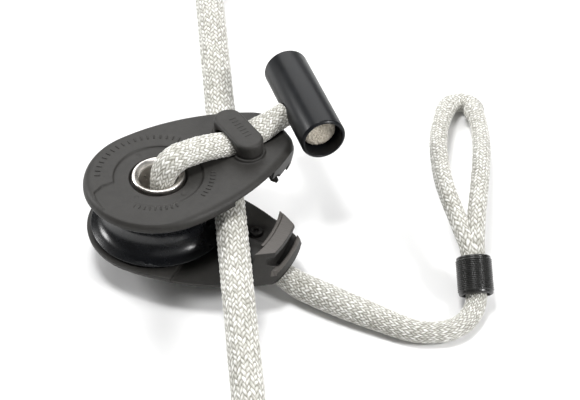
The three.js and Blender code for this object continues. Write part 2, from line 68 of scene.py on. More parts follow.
CHEEK_R = 31.8
SIDE_R = 98.0
SIDE_START = math.radians(92)
HEAD_R = 61.6
HEAD_CORNER_R = 5.0
UPPER_CORNER_R = 12.0
FACE_Z = 15.0
HUB_PAD_Z = 10.9
HEAD_PAD_Z = 12.7
HEAD_ROOT_Z = 13.2
HEAD_SEGMENTS = 240
PAD_STEP_X = 19.5
CHEEK_ROUND = 3.5
CHEEK_BORE_R = 12.9
HORN_TOP_Z = 1.0
HORN_IN_R = 52.8
HORN_OUT_R = 59.0
HORN_LIP_R = 51.0
CHANNEL_TOP_Z = HORN_TOP_Z + 0.4
END_DRAFT = 0.35
RECESS_R = 19.0
RECESS_DEPTH = 0.8

KEEPER_X = 39.4
KEEPER_WIDTH = 12.8
KEEPER_HALF = 14.4
KEEPER_TOP_Z = 23.0
KEEPER_FOOT_Y = 8.9
PLINTH_Z = 16.3
SCREW_Y = 11.6

STROP_HALF_W = 5.7
STROP_HALF_H = 4.3
TROUGH_HALF_W = 6.7
EYE_R = 4.0

TOGGLE_R = 9.8
TOGGLE_BORE_R = 8.2
TOGGLE_ENTRY_R = 4.8
TOGGLE_HALF = 26.0
TOGGLE_LIP = 1.1
TOGGLE_AT = np.array([72.3, 0.0, 22.3])
TOGGLE_TURN = math.radians(-14.4)
TOGGLE_DIP = math.radians(1)
TAIL_R = 7.3
TAIL_INSET = 4.0
LEG_RISE = math.radians(12.5)

SLEEVE_R = 7.5
SLEEVE_BORE_R = 5.9
SLEEVE_LENGTH = 16.4
SLEEVE_AT = np.array([132.6, 27.4, -15.2])
SLEEVE_ALONG = np.array([-0.389, 0.714, 0.5822])

FLOOR_Z = -27.8


# ---------- placing ----------
def turn_z(degrees):
    angle = math.radians(degrees)
    c, s = math.cos(angle), math.sin(angle)
    return np.array([[c, -s, 0], [s, c, 0], [0, 0, 1]])


UPPER = turn_z(OPEN_ANGLE)


def to_row(points):
    return (np.asarray(points, float) + HUB_AT) * MM


def unit(vector):
    return np.asarray(vector, float) / np.linalg.norm(vector)


def polar(radius, degrees):
    angle = math.radians(degrees)
    return radius * math.cos(angle), radius * math.sin(angle)


def placed(turn=np.eye(3), at=(0, 0, 0)):
    """The matrix that takes a piece's own millimetres to metres in the row frame."""
    matrix = np.eye(4)
    matrix[:3, :3] = turn * MM
    matrix[:3, 3] = to_row(at)
    return Matrix(matrix.tolist())


def toggle_basis():
    along = np.array([
        math.sin(TOGGLE_TURN) * math.cos(TOGGLE_DIP),
        -math.cos(TOGGLE_TURN) * math.cos(TOGGLE_DIP),
        math.sin(TOGGLE_DIP),
    ])
    side = unit(np.array([1, 0, 0]) - along[0] * along)
    return np.column_stack([side, np.cross(along, side), along])


def basis_along(direction):
    along = unit(direction)
    side = unit(np.cross([0.0, 0.0, 1.0], along))
    return np.column_stack([side, np.cross(along, side), along])


# ---------- camera ----------
CAMERA_AT = Vector((0.2983, -0.5542, 0.5594))
AZIMUTH = math.radians(25)
ELEVATION = math.radians(41.9)
ROLL = 0.00855
LENS = 122.74
SENSOR_WIDTH = 36


def make_camera():
    data = bpy.data.cameras.new("camera")
    data.lens = LENS
    data.sensor_width = SENSOR_WIDTH
    back = Vector((
        math.sin(AZIMUTH) * math.cos(ELEVATION),
        -math.cos(AZIMUTH) * math.cos(ELEVATION),
        math.sin(ELEVATION),
    ))
    level = Vector((math.cos(AZIMUTH), math.sin(AZIMUTH), 0))
    upright = back.cross(level)
    right = (level - ROLL * upright).normalized()
    up = (upright + ROLL * level).normalized()
    camera = bpy.data.objects.new("camera", data)
    camera.matrix_world = Matrix((
        (right.x, up.x, back.x, CAMERA_AT.x),
        (right.y, up.y, back.y, CAMERA_AT.y),
        (right.z, up.z, back.z, CAMERA_AT.z),
        (0, 0, 0, 1),
    ))
    bpy.context.scene.collection.objects.link(camera)
    bpy.context.scene.camera = camera


make_camera()


# ---------- shader helpers ----------
class Shader:
    """A material and short calls for the nodes in it."""

    def __init__(self, name, **sockets):
        self.material = bpy.data.materials.new(name)
        self.material.use_nodes = True
        self.tree = self.material.node_tree
        self.surface = self.tree.nodes["Principled BSDF"]
        for key, value in sockets.items():
            self.surface.inputs[key.replace("_", " ")].default_value = value

    def add(self, kind, inputs=(), **settings):
        made = self.tree.nodes.new("ShaderNode" + kind)
        for key, value in settings.items():
            setattr(made, key, value)
        for key, value in dict(inputs).items():
            if isinstance(value, bpy.types.NodeSocket):
                self.tree.links.new(value, made.inputs[key])
            else:
                made.inputs[key].default_value = value
        return made

    def math(self, operation, *values, clamp=False):
        return self.add("Math", dict(enumerate(values)), operation=operation, use_clamp=clamp).outputs[0]

    def position(self):
        return self.add("TexCoord").outputs["Object"]

    def noise(self, scale, detail=2.0, rough=0.5, at=None):
        at = at if at is not None else self.position()
        inputs = {"Vector": at, "Scale": scale, "Detail": detail, "Roughness": rough}
        return self.add("TexNoise", inputs).outputs["Fac"]

    def ramp(self, value, *stops):
        made = self.add("ValToRGB", {"Fac": value})
        for index, (at, colour) in enumerate(stops):
            element = made.color_ramp.elements[index] if index < 2 else made.color_ramp.elements.new(at)
            element.position = at
            element.color = (*colour, 1)
        return made.outputs["Color"]

    def range(self, value, low, high, from_low=0.0, from_high=1.0):
        inputs = {"Value": value, 1: from_low, 2: from_high, 3: low, 4: high}
        return self.add("MapRange", inputs).outputs[0]

    def bump(self, height, distance, strength=1.0, under=None):
        inputs = {"Height": height, "Distance": distance, "Strength": strength}
        if under is not None:
            inputs["Normal"] = under
        return self.add("Bump", inputs).outputs[0]

    def link(self, socket, value):
        self.tree.links.new(value, self.surface.inputs[socket])

    def about_hub(self):
        """x and y from the hub's axis, the distance from it, and z, in metres."""
        at = self.add("SeparateXYZ", {0: self.position()})
        x = self.math("SUBTRACT", at.outputs[0], HUB_AT[0] * MM)
        y = self.math("SUBTRACT", at.outputs[1], HUB_AT[1] * MM)
        squares = self.math("ADD", self.math("MULTIPLY", x, x), self.math("MULTIPLY", y, y))
        return x, y, self.math("SQRT", squares), at.outputs[2]

    def lathe_rings(self, scale):
        """The fine rings that a lathe or a polishing wheel leaves round the hub's axis."""
        _, _, radius, z = self.about_hub()
        place = self.add("CombineXYZ", {
            0: self.math("MULTIPLY", radius, scale),
            2: self.math("MULTIPLY", z, scale),
        })
        return self.noise(1.0, 2, 0.5, place.outputs[0])


def cheek_material(name, dark, light, roughness):
    """Moulded glass-filled plastic: fine spark grain, faint flow marks, a slightly uneven sheen."""
    shader = Shader(name, Specular_IOR_Level=0.3)
    mottle = shader.noise(240, 5, 0.62)
    grain = shader.noise(2600, 3, 0.6)
    tone = shader.math("ADD", shader.math("MULTIPLY", mottle, 0.6), shader.math("MULTIPLY", grain, 0.4))
    shader.link("Base Color", shader.ramp(tone, (0.3, dark), (0.7, light)))
    shader.link("Roughness", shader.range(grain, roughness - 0.07, roughness + 0.09, 0.3, 0.7))
    soft = shader.bump(shader.noise(520, 3, 0.5), 0.00012, 0.35)
    shader.link("Normal", shader.bump(grain, 0.00006, 0.75, soft))
    return shader.material


def horn_material():
    """The latch tops: satin, with fine streaks drawn out from the hub, and a lighter colour that is a
    painted highlight on the faces that look up.
    """
    shader = Shader("horn_satin_painted_highlight", IOR=1.48)
    x, y, radius, _ = shader.about_hub()
    angle = shader.math("ARCTAN2", y, x)
    rays = shader.add("CombineXYZ", {
        0: shader.math("MULTIPLY", angle, 160.0),
        1: shader.math("MULTIPLY", radius, 90.0),
    })
    streak = shader.noise(1.0, 3, 0.6, rays.outputs[0])
    grain = shader.noise(2600, 3, 0.6)
    dark, light = (0.050, 0.044, 0.039), (0.092, 0.083, 0.075)
    shader.link("Base Color", shader.ramp(streak, (0.3, dark), (0.72, light)))
    shader.link("Roughness", shader.range(grain, 0.36, 0.52, 0.3, 0.7))
    shader.link("Normal", shader.bump(streak, 0.00008, 0.5, shader.bump(grain, 0.00005, 0.5)))
    return shader.material


def anodised_material(name, specular, sheen, axis=None):
    """Black hard-anodised aluminium; the lathe's fine rings lie round the hub, or across the axis given."""
    shader = Shader(name, Specular_IOR_Level=specular, Coat_Weight=0.08, Coat_Roughness=0.16)
    if axis is None:
        rings = shader.lathe_rings(4200.0)
    else:
        inputs = {0: shader.position(), 1: Vector(axis)}
        along = shader.add("VectorMath", inputs, operation="DOT_PRODUCT").outputs["Value"]
        place = shader.add("CombineXYZ", {0: shader.math("MULTIPLY", along, 3600.0)}).outputs[0]
        rings = shader.noise(1.0, 2, 0.5, place)
    cloud = shader.noise(160, 4, 0.6)
    dark, light = (0.0042, 0.0047, 0.0057), (0.0058, 0.0065, 0.0083)
    shader.link("Base Color", shader.ramp(cloud, (0.3, dark), (0.75, light)))
    shader.link("Roughness", shader.range(cloud, sheen - 0.02, sheen + 0.03, 0.3, 0.7))
    dust = shader.noise(1900, 3, 0.6)
    shader.link("Normal", shader.bump(rings, 0.00001, 0.2, shader.bump(dust, 0.00001, 0.12)))
    return shader.material


def stainless_material():
    """Polished stainless with the faint rings of its polishing wheel."""
    shader = Shader("stainless_polished", Metallic=1.0)
    rings = shader.lathe_rings(5200.0)
    smear = shader.noise(230, 4, 0.6)
    shader.link("Base Color", shader.ramp(smear, (0.3, (0.71, 0.675, 0.63)), (0.7, (0.83, 0.80, 0.76))))
    shader.link("Roughness", shader.range(smear, 0.25, 0.38, 0.3, 0.7))
    shader.link("Normal", shader.bump(rings, 0.000012, 0.35))
    return shader.material


def plain_material(name, dark, light, roughness, scale, bump_mm):
    """A plain engineering material with a fine surface of its own."""
    shader = Shader(name)
    tone = shader.noise(scale, 4, 0.6)
    grain = shader.noise(scale * 7, 2, 0.5)
    shader.link("Base Color", shader.ramp(tone, (0.3, dark), (0.7, light)))
    shader.link("Roughness", shader.range(grain, roughness - 0.08, roughness + 0.08, 0.3, 0.7))
    shader.link("Normal", shader.bump(grain, bump_mm * MM, 0.6))
    return shader.material


def rope_material(name, shadow, mid, crest):
    """Plaited fibre: the strand cell comes from the UV map, whose units are one strand each way."""
    shader = Shader(name, Sheen_Weight=0.25, Sheen_Roughness=0.5, Specular_IOR_Level=0.35)
    cell = shader.add("SeparateXYZ", {0: shader.add("UVMap", uv_map="strands").outputs[0]})
    right = shader.math("ADD", cell.outputs[0], cell.outputs[1])
    left = shader.math("SUBTRACT", cell.outputs[0], cell.outputs[1])
    right_index = shader.math("FLOOR", right)
    left_index = shader.math("FLOOR", left)
    order = shader.math("FLOORED_MODULO", shader.math("ADD", right_index, left_index), 4.0)
    right_on_top = shader.math("LESS_THAN", order, 1.5)
    flip = shader.math("SUBTRACT", 1.0, right_on_top)

    def either(a, b):
        return shader.math("ADD", shader.math("MULTIPLY", a, right_on_top), shader.math("MULTIPLY", b, flip))

    across = either(shader.math("FRACT", right), shader.math("FRACT", left))
    along = either(left, right)
    strand = either(right_index, left_index)
    fibre_at = shader.add("CombineXYZ", {
        0: shader.math("MULTIPLY", across, 9.0),
        1: shader.math("MULTIPLY", along, 0.9),
        2: shader.math("MULTIPLY", strand, 3.7),
    }).outputs[0]
    fibres = shader.noise(1.0, 2, 0.6, fibre_at)
    yarn = shader.add("TexNoise", {"Vector": shader.add("CombineXYZ", {
        0: shader.math("MULTIPLY", strand, 5.3), 1: shader.math("MULTIPLY", along, 0.5)}).outputs[0],
        "Scale": 1.0}).outputs["Fac"]
    relief = shader.add("Attribute", attribute_name="relief").outputs["Fac"]
    height = shader.math("ADD", relief, shader.range(fibres, -0.17, 0.17, 0.25, 0.75))
    height = shader.math("ADD", height, shader.range(yarn, -0.22, 0.14, 0.3, 0.7), clamp=True)
    soil = shader.noise(45, 3, 0.6)
    height = shader.math("SUBTRACT", height, shader.range(soil, 0.0, 0.08, 0.45, 0.75), clamp=True)
    shader.link("Base Color", shader.ramp(height, (0.12, shadow), (0.52, mid), (0.92, crest)))
    shader.link("Roughness", shader.range(fibres, 0.5, 0.72, 0.3, 0.7))
    shader.link("Normal", shader.bump(fibres, 0.00016, 0.6))
    return shader.material


CHEEK = cheek_material("cheek_composite", (0.020, 0.019, 0.0173), (0.033, 0.0313, 0.0287), 0.5)
HORN = horn_material()
SHEAVE_BLACK = anodised_material("sheave_anodised", 0.4, 0.26)
STEEL = stainless_material()
ACETAL = plain_material("acetal_race", (0.66, 0.63, 0.55), (0.78, 0.75, 0.68), 0.42, 300, 0.02)
FIBRE = plain_material("bearing_fibre_wound", (0.10, 0.07, 0.035), (0.17, 0.125, 0.07), 0.6, 420, 0.05)
RUBBER = plain_material("rubber_black", (0.004, 0.004, 0.0035), (0.009, 0.009, 0.008), 0.3, 420, 0.015)
SCREW = plain_material("screw_blackened", (0.02, 0.02, 0.02), (0.045, 0.043, 0.04), 0.45, 700, 0.02)
ROPE = rope_material("rope_white", (0.19, 0.184, 0.15), (0.47, 0.46, 0.417), (0.86, 0.855, 0.83))
TAIL = plain_material("rope_end_fibre", (0.42, 0.37, 0.29), (0.68, 0.63, 0.55), 0.9, 900, 0.25)


# ---------- objects ----------
def new_object(name, mesh, material):
    obj = bpy.data.objects.new(name, mesh)
    bpy.context.scene.collection.objects.link(obj)
    if material is not None:
        mesh.materials.append(material)
    return obj


def finish_piece(obj, body, slot, *replaced, sharp=None):
    mesh = obj.data
    mesh.shade_smooth()
    if sharp is not None:
        mesh.set_sharp_from_angle(angle=math.radians(sharp))
    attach(obj, body)
    if replaced:
        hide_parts(*replaced)


# ---------- ropes ----------
def spline(rows, step=0.25):
    """Centripetal Catmull-Rom through rows [x, y, z, half width, half height], resampled evenly."""
    rows = np.asarray(rows, float)
    first = 2 * rows[0] - rows[1]
    last = 2 * rows[-1] - rows[-2]
    ctrl = np.vstack([first, rows, last])
    out = []
    for k in range(1, len(ctrl) - 2):
        p0, p1, p2, p3 = ctrl[k - 1:k + 3]
        d0, d1, d2 = (math.sqrt(np.linalg.norm(b[:3] - a[:3])) for a, b in ((p0, p1), (p1, p2), (p2, p3)))
        m1 = ((p1 - p0) / d0 - (p2 - p0) / (d0 + d1) + (p2 - p1) / d1) * d1
        m2 = ((p2 - p1) / d1 - (p3 - p1) / (d1 + d2) + (p3 - p2) / d2) * d1
        count = max(4, int(np.linalg.norm(p2[:3] - p1[:3]) / 0.2))
        t = np.linspace(0, 1, count, endpoint=False)[:, None]
        out.append((2 * t**3 - 3 * t**2 + 1) * p1 + (t**3 - 2 * t**2 + t) * m1
                   + (3 * t**2 - 2 * t**3) * p2 + (t**3 - t**2) * m2)
    dense = np.vstack([*out, rows[-1:]])
    along = np.concatenate([[0], np.cumsum(np.linalg.norm(np.diff(dense[:, :3], axis=0), axis=1))])
    even = np.linspace(0, along[-1], max(8, int(round(along[-1] / step))) + 1)
    return np.column_stack([np.interp(even, along, dense[:, c]) for c in range(dense.shape[1])]), even


def frames_along(line, side_hint):
    tangent = np.gradient(line, axis=0)
    tangent /= np.linalg.norm(tangent, axis=1)[:, None]
    side = np.zeros_like(line)
    current = np.asarray(side_hint, float)
    for k, t in enumerate(tangent):
        current = unit(current - np.dot(current, t) * t)
        side[k] = current
    return side, np.cross(tangent, side)


PER_STRAND = 6  # mesh steps across one strand of the plait
MEAN_RELIEF = 0.7  # the relief at which the rope has its stated half sizes
PATH_STEP = 3.0  # about how far apart the points of the centreline that plaited() returns are

# each plait: strands round the rope, length of one strand's cell along it, depth of the relief
UPPER_PLAIT = (26, 1.9, 0.5)
LOWER_PLAIT = (28, 2.2, 0.55)
EYE_PLAIT = (16, 2.5, 0.45)
LINE_PLAIT = (26, 3.2, 0.65)
KNOT_PLAIT = (26, 2.8, 0.6)


def plaited(name, rows, columns, pitch, depth, side_hint, turn=np.eye(3)):
    """A two-over-two plaited rope along a route; returns it, its centreline in the row frame and its length.

    u counts strands round the rope and v counts them along it. A right-laid strand is a band of constant
    floor(u + v), a left-laid one of constant floor(u - v), and which is on top repeats every four.
    """
    data, along = spline(rows, pitch / PER_STRAND)
    line = data[:, :3]
    side, up = frames_along(line, side_hint)
    around = columns * PER_STRAND
    u = np.arange(around) / PER_STRAND
    v = along / pitch
    theta = 2 * np.pi * u / columns
    cos, sin = np.cos(theta), np.sin(theta)
    width, height = data[:, 3][:, None], data[:, 4][:, None]

    # the strands wander a little, so that no two cells are quite alike
    bearing, station = theta[None, :], v[:, None]
    wander = 0.11 * np.sin(3 * bearing + 0.83 * station) + 0.09 * np.sin(5 * bearing - 1.31 * station + 2)
    lag = 0.12 * np.sin(2 * bearing + 0.57 * station + 1) + 0.08 * np.sin(7 * bearing + 1.9 * station)
    cell_u = u[None, :] + wander
    cell_v = station + lag
    right = cell_u + cell_v + 1e-6
    left = cell_u - cell_v + 1e-6
    order = np.mod(np.floor(right) + np.floor(left), 4)
    on_top = order < 1.5
    across = np.where(on_top, right % 1, left % 1)
    travel = np.where(on_top, (order + left % 1) / 2, (order - 2 + right % 1) / 2)
    crown = np.sqrt(np.clip(1 - (2 * across - 1) ** 2, 0, 1))
    arch = np.sin(np.pi * np.clip(travel, 0, 1)) ** 0.6
    key = np.where(on_top, np.floor(right) * 7 + np.floor((left - order) / 2), np.floor(left) * 5 + 3)
    uneven = 0.86 + 0.14 * np.sin(key * 12.9898)
    relief = crown * (0.35 + 0.65 * arch) * uneven

    out = cos[None, :, None] / width[..., None] * side[:, None, :]
    out = out + sin[None, :, None] / height[..., None] * up[:, None, :]
    out /= np.linalg.norm(out, axis=2)[..., None]
    shell = line[:, None, :] + (width * cos)[..., None] * side[:, None, :]
    shell = shell + (height * sin)[..., None] * up[:, None, :]
    shell = shell + out * (depth * (relief - MEAN_RELIEF))[..., None]

    rings = len(line)
    verts = np.vstack([shell.reshape(-1, 3), line[:1], line[-1:]])
    ring = np.arange(rings - 1)[:, None] * around
    here = np.arange(around)[None, :]
    beyond = (here + 1) % around
    v00, v01 = ring + here, ring + beyond
    v10, v11 = v00 + around, v01 + around
    mid_right = np.floor(u[None, :] + v[:-1, None] + 1.0 / PER_STRAND)
    mid_left = np.floor(u[None, :] - v[:-1, None] + 1e-6)
    top = (np.mod(mid_right + mid_left, 4) < 1.5)[..., None]
    one = np.where(top, np.stack([v00, v01, v10], -1), np.stack([v00, v01, v11], -1)).reshape(-1, 3)
    two = np.where(top, np.stack([v01, v11, v10], -1), np.stack([v00, v11, v10], -1)).reshape(-1, 3)
    one_on = (np.arange(around) + 1) % around
    start = np.stack([np.arange(around), np.full(around, rings * around), one_on], -1)
    base = (rings - 1) * around
    end = np.stack([base + np.arange(around), base + one_on, np.full(around, rings * around + 1)], -1)
    tris = np.vstack([one, two, start, end])

    mesh = bpy.data.meshes.new(name)
    world = to_row(verts @ turn.T)
    mesh.from_pydata(world.tolist(), [], tris.tolist())
    vert_u = np.concatenate([cell_u.ravel(), [0, 0]])
    vert_v = np.concatenate([cell_v.ravel(), [v[0], v[-1]]])
    corner_u = vert_u[tris]
    wrapped = corner_u.max(1) - corner_u.min(1) > columns / 2
    corner_u[wrapped[:, None] & (corner_u < columns / 2)] += columns
    uv = np.stack([corner_u, vert_v[tris]], -1)
    mesh.uv_layers.new(name="strands").data.foreach_set("uv", uv.ravel())
    attribute = mesh.attributes.new("relief", "FLOAT", "POINT")
    attribute.data.foreach_set("value", np.concatenate([relief.ravel(), [0, 0]]))
    obj = new_object(name, mesh, ROPE)
    keep = np.linspace(0, rings - 1, int(along[-1] / PATH_STEP) + 2).round().astype(int)
    return obj, to_row(line[keep] @ turn.T), along[-1] * MM


def sized(route, half_w, half_h=None):
    half_h = half_w if half_h is None else half_h
    return [[*point, half_w, half_h] for point in route]


UPPER_LEG = [
    [1.3, 0, 0.15], [1.3, 0, 7], [1.9, 0, 12.5], [4.6, 0, 17.6], [9.8, 0, 20.2], [15, 0, 20.1],
    [21, 0, 19.6], [28, 0, 18.1], [34, 0, 16.5], [39.4, 0, 15.8], [45, 0, 16.3], [51, 0, 17.4],
    [57, 0, 18.7], [60, 0, 19.4], [63.2, 0, 20.1],
]
LOWER_LEG = [
    [1.3, 0, -0.15], [1.3, 0, -8], [1.5, 0, -14.5], [3.1, 0, -20.2], [7.4, 0, -23], [12.6, 0, -22.8],
    [19, 0, -21.1], [27, 0, -18.5], [34, 0, -16.5], [39.4, 0, -15.8], [45, 0, -16.3], [51, -0.2, -17.5],
    [57, -0.8, -19],
]
# The splice swells the strop and runs out evenly into the round neck; each row ends with its radius.
SPLICE = [
    [66, -2.3, -20.9, 5.7], [70, -2.9, -21.0, 5.85], [78, -3.9, -21.1, 5.9],
    [88, -4.9, -21.4, 5.8], [98, -5.4, -21.8, 5.55], [107, -5.8, -22.2, 5.2],
]
NECK = [
    [115.5, -5.95, -22.6, 4.85], [120.5, -5.2, -22.9, 4.65], [126.5, -2.8, -23, 4.5],
    [131.5, 0.5, -23, 4.45], [135.2, 5.6, -23, 4.45], [136.8, 11.8, -22.9, 4.4],
    [136.9, 17.3, -22, 4.4], [135.9, 21.4, -20, 4.4], [133.4, 25.9, -16.4, 4.4],
    [130.7, 30.9, -12.3, 4.4],
]
EYE_OUTER = [
    [129.6, 30.9, -11.9], [128, 33.6, -9.9], [125.3, 36.9, -7.2], [121.4, 41, -5.2], [116.9, 46.3, -3.6],
    [111.3, 53.4, -2.9], [104.4, 63.8, -3.6], [95.9, 80.3, -7], [87.5, 100.3, -12.2], [81.9, 119.6, -17.6],
    [79.3, 133.4, -21.4], [80.0, 138.5, -22.6], [82.8, 141.5, -23.1], [85.3, 142.1, -23.2],
]
EYE_INNER = [
    [131.3, 31.8, -11.9], [129.9, 34.7, -9.9], [128.2, 38.2, -7.2], [126.6, 42.6, -5.2], [124.6, 48.4, -3.6],
    [121.8, 57.4, -2.9], [118.2, 69.3, -3.6], [111.9, 88.9, -7], [105.2, 107.3, -12], [95.9, 127.7, -17.8],
    [91.9, 134.4, -20.7], [90.7, 138.6, -22.3], [87.8, 141.5, -23.0],
]


def along_line(distance):
    return [
        LINE_OFFSET * math.cos(LINE_ANGLE) - distance * math.sin(LINE_ANGLE),
        LINE_OFFSET * math.sin(LINE_ANGLE) + distance * math.cos(LINE_ANGLE),
        0.0,
    ]


def knot_route(end, direction):
    """A stopper knot: the rope runs on through its own turns, winds back round itself and tucks out."""
    axis = unit(np.subtract(along_line(1), along_line(0))) * direction
    start = np.array(along_line(end))
    wide = np.array([0.0, 0.0, 1.0])
    other = np.cross(axis, wide)
    core = [start + axis * t for t in (0.3, 8, 18, 27)]
    turns = []
    wound = 2.35
    steps = 30
    for k in range(steps + 1):
        share = k / steps
        angle = 2 * math.pi * wound * share - 0.9
        radius = 11.6 * min(1.0, 0.35 + share * 4)
        reach = 33.5 - 25.5 * share
        turns.append(start + axis * reach + radius * (math.cos(angle) * wide + math.sin(angle) * other))
    last, before = turns[-1], turns[-2]
    away = unit(unit(last - before) + 1.6 * axis)
    tail = [last + away * t for t in (6, 14)]
    route = [*core, *turns, *tail]
    return [[*point, LINE_R - 0.7, LINE_R - 0.7] for point in route]


def leg_section(x):
    """The flat strop is spread over the hub's rim, narrower under the keeper and round at the toggle."""
    if x < 33:
        return 7.1, 4.1
    if x < 52:
        return TROUGH_HALF_W, STROP_HALF_H
    return 5.4, 5.1


def eye_section(y):
    """The rope bunches up a little where it bends round the tip of the eye."""
    return (4.3, 4.6) if y > 130 else (EYE_R, EYE_R)


def make_ropes():
    """Three lengths of strop and two of line, each as plaited() returns it, the line's with its knot."""
    rows = [[x, y, z, *leg_section(x)] for x, y, z in UPPER_LEG]
    upper = plaited("strop_upper_leg_plait", rows, *UPPER_PLAIT, (0, 1, 0), UPPER)
    finish_piece(upper[0], "swinging_cheek", "rope", "strop_upper_leg")

    rows = sized(LOWER_LEG, STROP_HALF_W, STROP_HALF_H) + [[*row, row[3]] for row in SPLICE + NECK]
    lower = plaited("strop_lower_plait", rows, *LOWER_PLAIT, (0, 1, 0))
    finish_piece(lower[0], "block", "rope", "strop_lower_leg", "strop_splice", "strop_neck")

    rows = [[x, y, z, *eye_section(y)] for x, y, z in EYE_OUTER + EYE_INNER[::-1]]
    eye = plaited("strop_eye_plait", rows, *EYE_PLAIT, (0, 0, 1))
    finish_piece(eye[0], "block", "rope", "strop_eye")

    lines = []
    for side, end, direction in (("far", LINE_FAR, 1), ("near", LINE_NEAR, -1)):
        stop = end * direction
        stations = np.linspace(GAP / 2 * direction, stop, 6)
        route = sized([along_line(d) for d in stations], LINE_R)
        line = plaited(f"working_line_{side}_plait", route, *LINE_PLAIT, (0, 0, 1))
        finish_piece(line[0], "block", "rope", f"working_line_{side}")
        knot, _, _ = plaited(f"stopper_knot_{side}", knot_route(stop, direction), *KNOT_PLAIT, (0, 0, 1))
        finish_piece(knot, "block", "rope", f"line_stopper_knot_{side}")
        lines.append((*line, knot))
    return upper, lower, eye, lines


upper_cord, lower_cord, eye_cord, line_cords = make_ropes()


# ---------- turned pieces ----------
def rounded(profile, radius, steps=4):
    """A closed profile with each corner replaced by a small arc."""
    out = []
    count = len(profile)
    for k in range(count):
        here = np.array(profile[k], float)
        back = np.array(profile[k - 1], float) - here
        fore = np.array(profile[(k + 1) % count], float) - here
        reach_back, reach_fore = np.linalg.norm(back), np.linalg.norm(fore)
        cut = min(radius, reach_back * 0.45, reach_fore * 0.45)
        start = here + back / reach_back * cut
        end = here + fore / reach_fore * cut
        if here[0] < 1e-6:
            out.append(here)
            continue
        for t in np.linspace(0, 1, steps):
            out.append((1 - t) ** 2 * start + 2 * t * (1 - t) * here + t**2 * end)
    return out


def lathe_mesh(name, profile, segments=128):
    bm = bmesh.new()
    rings = []
    for radius, z in profile:
        if radius < 1e-6:
            rings.append([bm.verts.new((0, 0, z))])
            continue
        ring = []
        for k in range(segments):
            angle = 2 * math.pi * k / segments
            ring.append(bm.verts.new((radius * math.cos(angle), radius * math.sin(angle), z)))
        rings.append(ring)
    for a, b in zip(rings, rings[1:] + rings[:1]):
        if len(a) == 1 and len(b) == 1:
            continue
        for k in range(segments):
            n = (k + 1) % segments
            corners = [a[k % len(a)], a[n % len(a)], b[n % len(b)], b[k % len(b)]]
            bm.faces.new(list(dict.fromkeys(corners)))
    bmesh.ops.recalc_face_normals(bm, faces=bm.faces)
    mesh = bpy.data.meshes.new(name)
    bm.to_mesh(mesh)
    bm.free()
    return mesh


def turned(name, profile, material, body, slot, *replaced, turn=np.eye(3), at=(0, 0, 0),
           radius=0.25, segments=128):
    mesh = lathe_mesh(name, rounded(profile, radius), segments)
    mesh.transform(placed(turn, at))
    obj = new_object(name, mesh, material)
    finish_piece(obj, body, slot, *replaced, sharp=50)


def sheave_profile():
    mouth = 9.3
    centre = LINE_OFFSET + 0.4
    reach = math.asin(min(1, (mouth - 1.2) / (GROOVE_R + 1.6)))
    rim = SHEAVE_R - 0.9
    points = [(rim, -SHEAVE_HALF), (SHEAVE_R, -SHEAVE_HALF + 0.55), (SHEAVE_R, -mouth + 0.1)]
    for angle in np.linspace(-reach, reach, 33):
        spread = 1 + 0.22 * abs(math.sin(angle))
        points.append((centre - GROOVE_R * math.cos(angle), GROOVE_R * spread * math.sin(angle)))
    points += [(SHEAVE_R, mouth - 0.1), (SHEAVE_R, SHEAVE_HALF - 0.55), (rim, SHEAVE_HALF)]
    upper = [(21.2, 10.45), (21.2, 7.0), (15.4, 7.0), (15.4, 9.65), (13.3, 9.65)]
    return points + upper + [(r, -z) for r, z in reversed(upper)]


def rim_profile(mirror):
    seat = RIM_TOP_Z - 2 + GAP
    points = [
        (HUB_BORE_R, seat), (HUB_TUBE_R + GAP, seat), (HUB_TUBE_R + GAP, RIM_SKIRT_Z), (RIM_R, RIM_SKIRT_Z),
        (RIM_R, RIM_TOP_Z - 0.7), (RIM_R - 0.15, RIM_TOP_Z - 0.25), (RIM_R - 0.5, RIM_TOP_Z),
        (RIM_R - 0.9, RIM_TOP_Z - 0.05), (RIM_R - 1.5, RIM_TOP_Z - 0.35), (RIM_R - 2.1, RIM_TOP_Z - 0.8),
        (HUB_BORE_R + 0.3, RIM_TOP_Z - 1.3),
    ]
    return [(r, z * mirror) for r, z in points]


def make_turned():
    turned("sheave_turned", sheave_profile(), SHEAVE_BLACK, "sheave", "anodised", "sheave", segments=192)
    turned("upper_rim_turned", rim_profile(1), STEEL, "block", "stainless", "upper_hub_rim", radius=0.3)
    turned("lower_rim_turned", rim_profile(-1), STEEL, "block", "stainless", "lower_hub_rim", radius=0.3)
    half = RIM_TOP_Z - 2
    bore = [(HUB_BORE_R, -half), (HUB_TUBE_R, -half), (HUB_TUBE_R, half), (HUB_BORE_R, half)]
    turned("hub_tube_turned", bore, STEEL, "block", "stainless", "hub_sleeve")

    half = SLEEVE_LENGTH / 2
    ribs = 17
    margin = 1.5
    crest = SLEEVE_R + 0.08
    pitch = (SLEEVE_LENGTH - 2 * margin) / ribs
    profile = [(SLEEVE_BORE_R, -half), (SLEEVE_R - 1.0, -half), (SLEEVE_R - 0.25, -half + 0.5)]
    for k in range(ribs):
        z = -half + margin + k * pitch
        profile += [(SLEEVE_R - 0.3, z), (crest, z + pitch * 0.3), (crest, z + pitch * 0.72)]
    profile += [(SLEEVE_R - 0.3, half - margin), (SLEEVE_R - 0.25, half - 0.5), (SLEEVE_R - 1.0, half),
                (SLEEVE_BORE_R, half)]
    turned("eye_sleeve_ribbed", profile, RUBBER, "sleeve", "rubber", "eye_sleeve",
           turn=basis_along(SLEEVE_ALONG), at=SLEEVE_AT, radius=0.3, segments=72)


make_turned()


# ---------- solids for the moulded pieces ----------
def solid(verts, faces):
    bm = bmesh.new()
    made = [bm.verts.new(v) for v in verts]
    for face in faces:
        bm.faces.new([made[k] for k in face])
    bmesh.ops.recalc_face_normals(bm, faces=bm.faces)
    mesh = bpy.data.meshes.new("solid")
    bm.to_mesh(mesh)
    bm.free()
    return new_object("solid", mesh, None)


